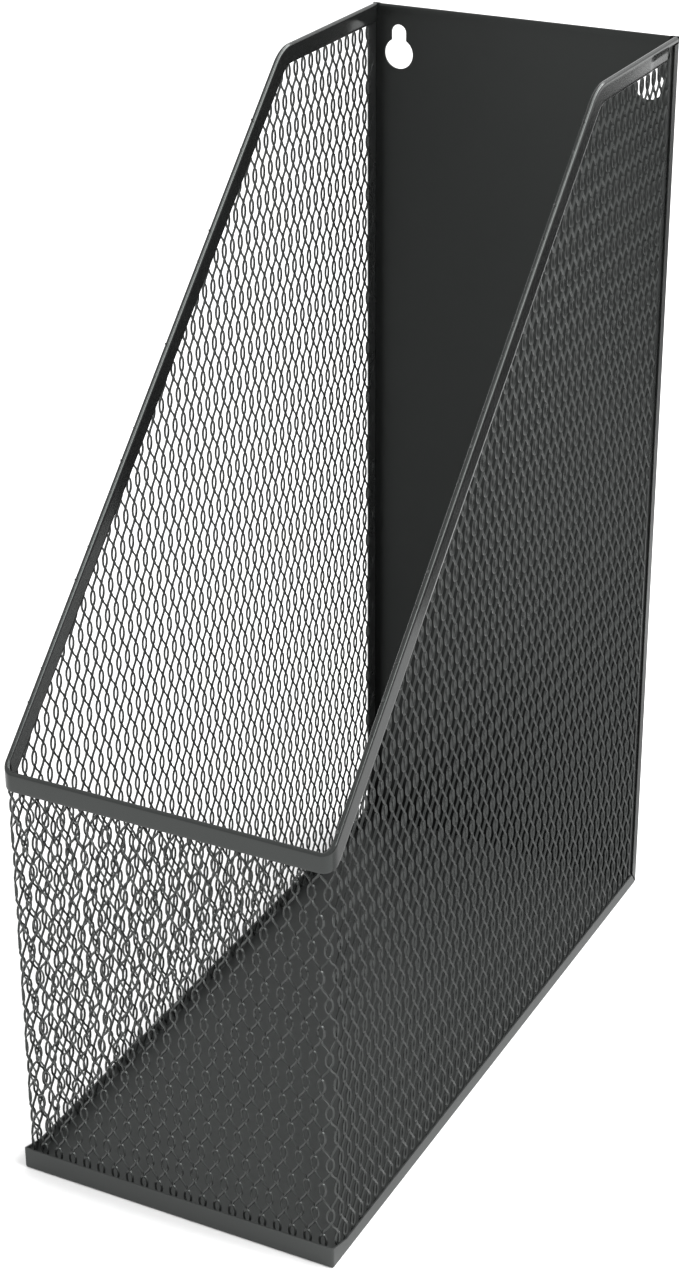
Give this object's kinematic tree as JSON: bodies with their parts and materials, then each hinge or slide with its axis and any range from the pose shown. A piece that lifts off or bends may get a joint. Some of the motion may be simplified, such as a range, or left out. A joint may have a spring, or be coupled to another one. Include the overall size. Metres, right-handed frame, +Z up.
{
  "type": "magazine file holder",
  "caption": "Upright desk file holder: expanded-metal body with a sloping folded rim, solid back with keyhole slots and a folded base tray, painted steel.",
  "frame": {"origin": "centre of the rectangular footprint, on the surface the holder stands on", "axes": "+X to the right seen from the front, +Y from the low open front to the solid back, +Z up; the front faces -Y"},
  "size_m": [0.11, 0.248, 0.318],
  "materials": {
    "mesh": "black powder coat, satin",
    "rim": "black powder coat, satin",
    "back": "black powder coat, satin",
    "tray": "black powder coat, satin"
  },
  "bodies": {
    "root": {"mesh_body": "mesh", "top_rim": "rim", "back_panel": "back", "base_tray": "tray"}
  },
  "joints": []
}
